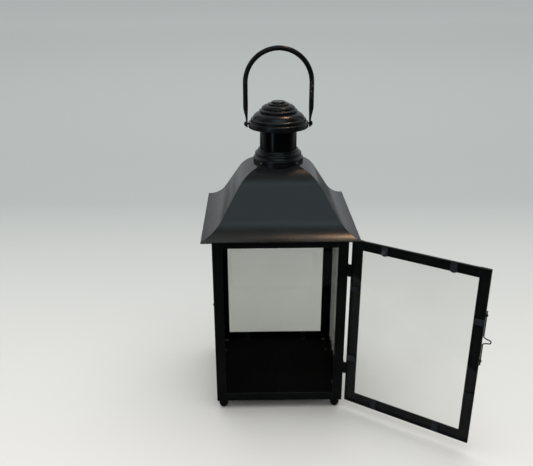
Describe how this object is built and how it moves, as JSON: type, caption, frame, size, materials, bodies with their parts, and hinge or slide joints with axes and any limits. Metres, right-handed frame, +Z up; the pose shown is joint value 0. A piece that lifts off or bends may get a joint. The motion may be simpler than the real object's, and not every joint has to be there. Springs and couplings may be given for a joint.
{
  "type": "candle lantern",
  "caption": "Glazed square candle lantern with a hinged door and wire latch, curved hipped roof, vented chimney cap, ball feet and a swinging carrying handle",
  "frame": {"origin": "on the floor under the middle of the square body", "axes": "+Z up, -Y towards the door side (front), +X to the lantern's right as seen from the front, where the door's hinges are"},
  "size_m": [0.4153, 0.3522, 0.5793],
  "materials": {
    "black_steel": "satin black powder coat",
    "clear_glass": "clear flat sheet glass",
    "dark_screws": "dark zinc plated steel"
  },
  "bodies": {
    "lantern": {"base_plate": "black_steel", "post_front_left": "black_steel", "post_front_right": "black_steel", "post_back_left": "black_steel", "post_back_right": "black_steel", "rail_bottom_front": "black_steel", "rail_bottom_back": "black_steel", "rail_bottom_left": "black_steel", "rail_bottom_right": "black_steel", "rail_top_front": "black_steel", "rail_top_back": "black_steel", "rail_top_left": "black_steel", "rail_top_right": "black_steel", "pane_left": "clear_glass", "pane_right": "clear_glass", "pane_back": "clear_glass", "pane_clips_left": "black_steel", "pane_clips_right": "black_steel", "pane_clips_back": "black_steel", "foot_front_left": "black_steel", "foot_front_right": "black_steel", "foot_back_left": "black_steel", "foot_back_right": "black_steel", "foot_screws": "dark_screws", "eave_plate": "black_steel", "roof_front": "black_steel", "roof_back": "black_steel", "roof_left": "black_steel", "roof_right": "black_steel", "neck_flange": "black_steel", "collar": "black_steel", "collar_screws": "dark_screws", "neck_tube": "black_steel", "cap_strap": "black_steel", "cap_shell": "black_steel", "cap_button": "black_steel", "cap_nut": "dark_screws", "handle_rivets": "black_steel", "hinge_upper_frame_leaf": "black_steel", "hinge_lower_frame_leaf": "black_steel", "hinge_frame_rivets": "black_steel", "hinge_upper_pin": "black_steel", "hinge_lower_pin": "black_steel", "catch_stud": "black_steel"},
    "door": {"door_rail_top": "black_steel", "door_rail_bottom": "black_steel", "door_stile_hinge": "black_steel", "door_stile_latch": "black_steel", "door_glass": "clear_glass", "door_clips": "black_steel", "hinge_upper_door_leaf": "black_steel", "hinge_lower_door_leaf": "black_steel", "hinge_door_rivets": "black_steel", "latch_eyes": "black_steel"},
    "latch": {"latch_wire": "black_steel"},
    "handle": {"handle": "black_steel"}
  },
  "joints": [
    {"name": "door_swing", "type": "hinge", "parent": "lantern", "child": "door", "pos_m": [0.1072, -0.10525, 0.17], "axis": [0, 0, 1], "range_deg": [-145.4, 34.6]},
    {"name": "latch_turn", "type": "hinge", "parent": "door", "child": "latch", "pos_m": [0.28454, -0.22425, 0.2], "axis": [0, 0, 1], "range_deg": [-90, 90]},
    {"name": "handle_swing", "type": "hinge", "parent": "lantern", "child": "handle", "pos_m": [0, 0, 0.46234], "axis": [1, 0, 0], "range_deg": [-135, 135]}
  ]
}
